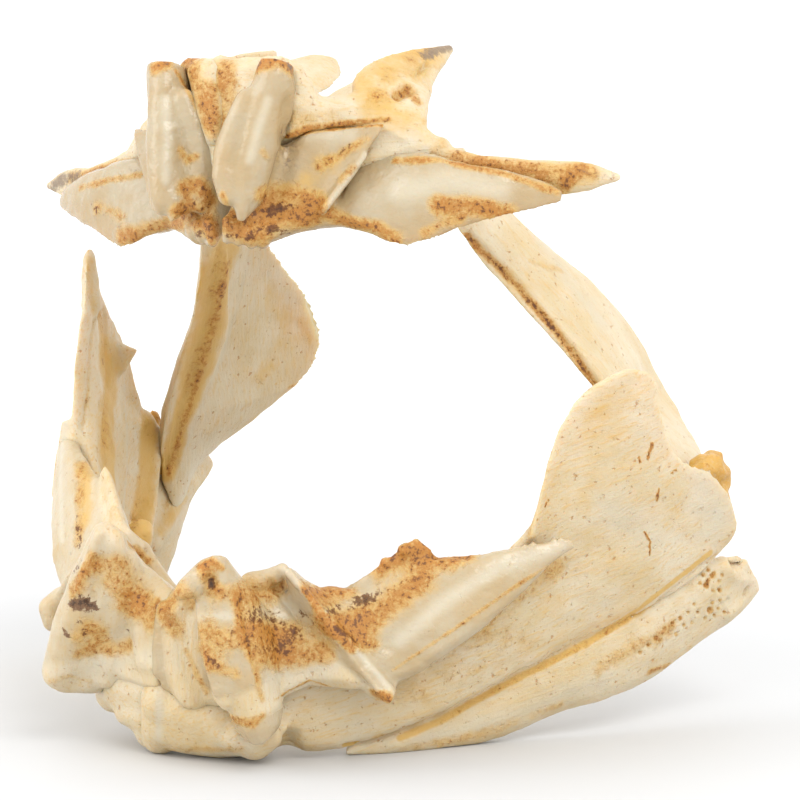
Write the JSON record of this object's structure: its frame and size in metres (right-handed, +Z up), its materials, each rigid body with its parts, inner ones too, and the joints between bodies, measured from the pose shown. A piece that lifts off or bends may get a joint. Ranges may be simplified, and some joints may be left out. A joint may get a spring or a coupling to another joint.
{
  "type": "lungfish jaws",
  "caption": "Upper and lower jaws of a lungfish, gaping, with ridged tooth plates, on a curved lower jaw.",
  "frame": {"origin": "centre of the box's base, on the floor that the lower jaw stands on", "axes": "+Z up, the jaws face -Y, the animal's left side is +X"},
  "size_m": [0.0898, 0.0705, 0.0811],
  "materials": {
    "bone": "dry cream bone, satin, with fine pores and amber stains",
    "tooth_enamel": "pale glossy tooth plate with growth bands and brown stains",
    "cartilage": "dried amber cartilage"
  },
  "bodies": {
    "root": {"mandible_left": "bone", "angular_left": "bone", "lower_tooth_plate_left": "tooth_enamel", "palate_left": "bone", "upper_tooth_plate_left": "tooth_enamel", "suspensorium_left": "bone", "joint_pad_left": "cartilage", "mandible_right": "bone", "angular_right": "bone", "lower_tooth_plate_right": "tooth_enamel", "palate_right": "bone", "upper_tooth_plate_right": "tooth_enamel", "suspensorium_right": "bone", "joint_pad_right": "cartilage"}
  },
  "joints": []
}
